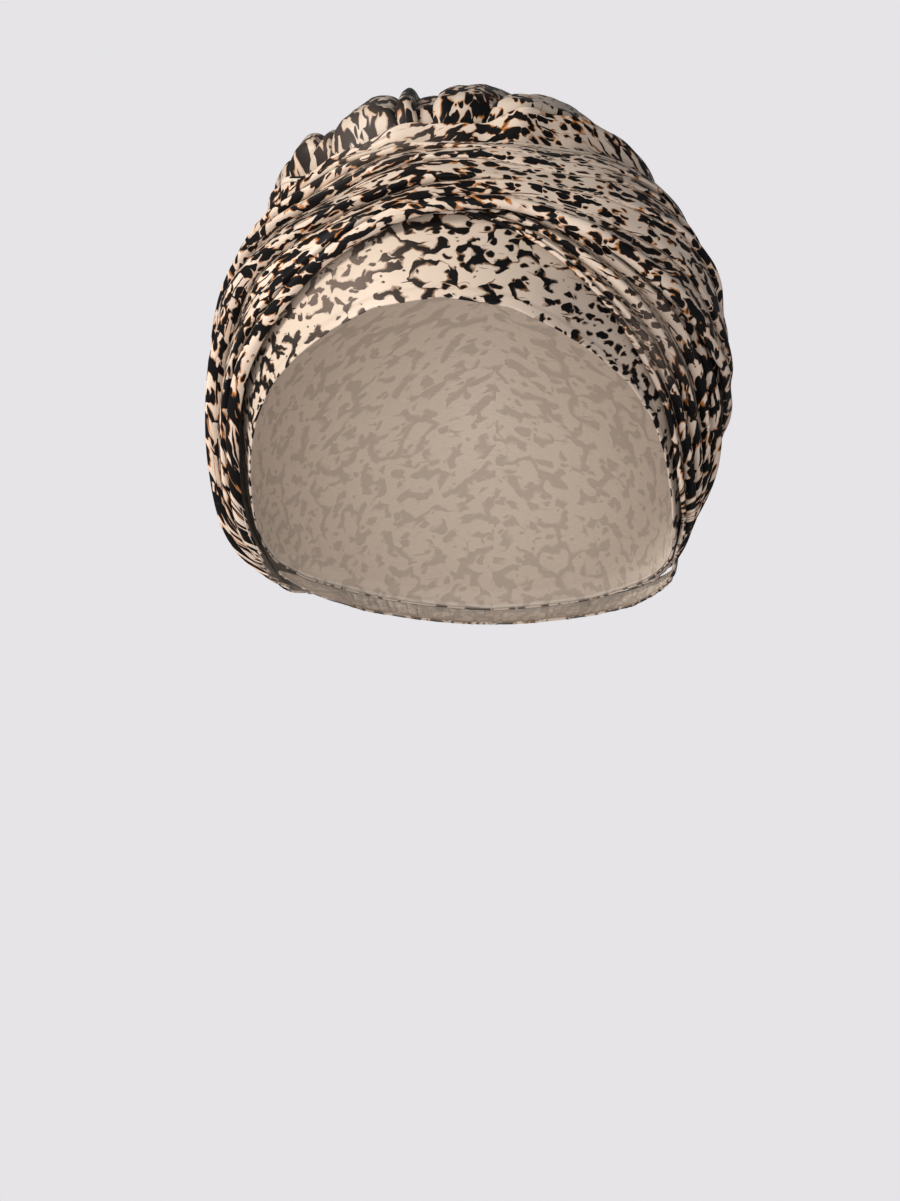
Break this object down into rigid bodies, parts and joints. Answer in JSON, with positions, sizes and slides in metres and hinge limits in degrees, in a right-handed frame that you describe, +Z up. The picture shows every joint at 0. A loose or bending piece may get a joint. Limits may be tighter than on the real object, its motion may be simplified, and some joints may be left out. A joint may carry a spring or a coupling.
{
  "type": "turban headwrap",
  "caption": "Pre-tied turban headwrap in worn form: close cap, two pleated wraps crossed over the forehead and a gathered crown.",
  "frame": {"origin": "inside of the crown, where the top of the wearer's head bears", "axes": "+Z up, -Y towards the wearer's face, +X towards the wearer's left"},
  "size_m": [0.1824, 0.2027, 0.1889],
  "materials": {
    "cap_satin": "satin cloth with an animal print",
    "crown_satin": "satin cloth with an animal print",
    "under_wrap_satin": "satin cloth with an animal print",
    "over_wrap_satin": "satin cloth with an animal print",
    "band_satin": "satin cloth with an animal print"
  },
  "bodies": {
    "root": {"under_cap": "cap_satin", "crown_gathers": "crown_satin", "under_wrap": "under_wrap_satin", "over_wrap": "over_wrap_satin", "nape_band": "band_satin"}
  },
  "joints": []
}
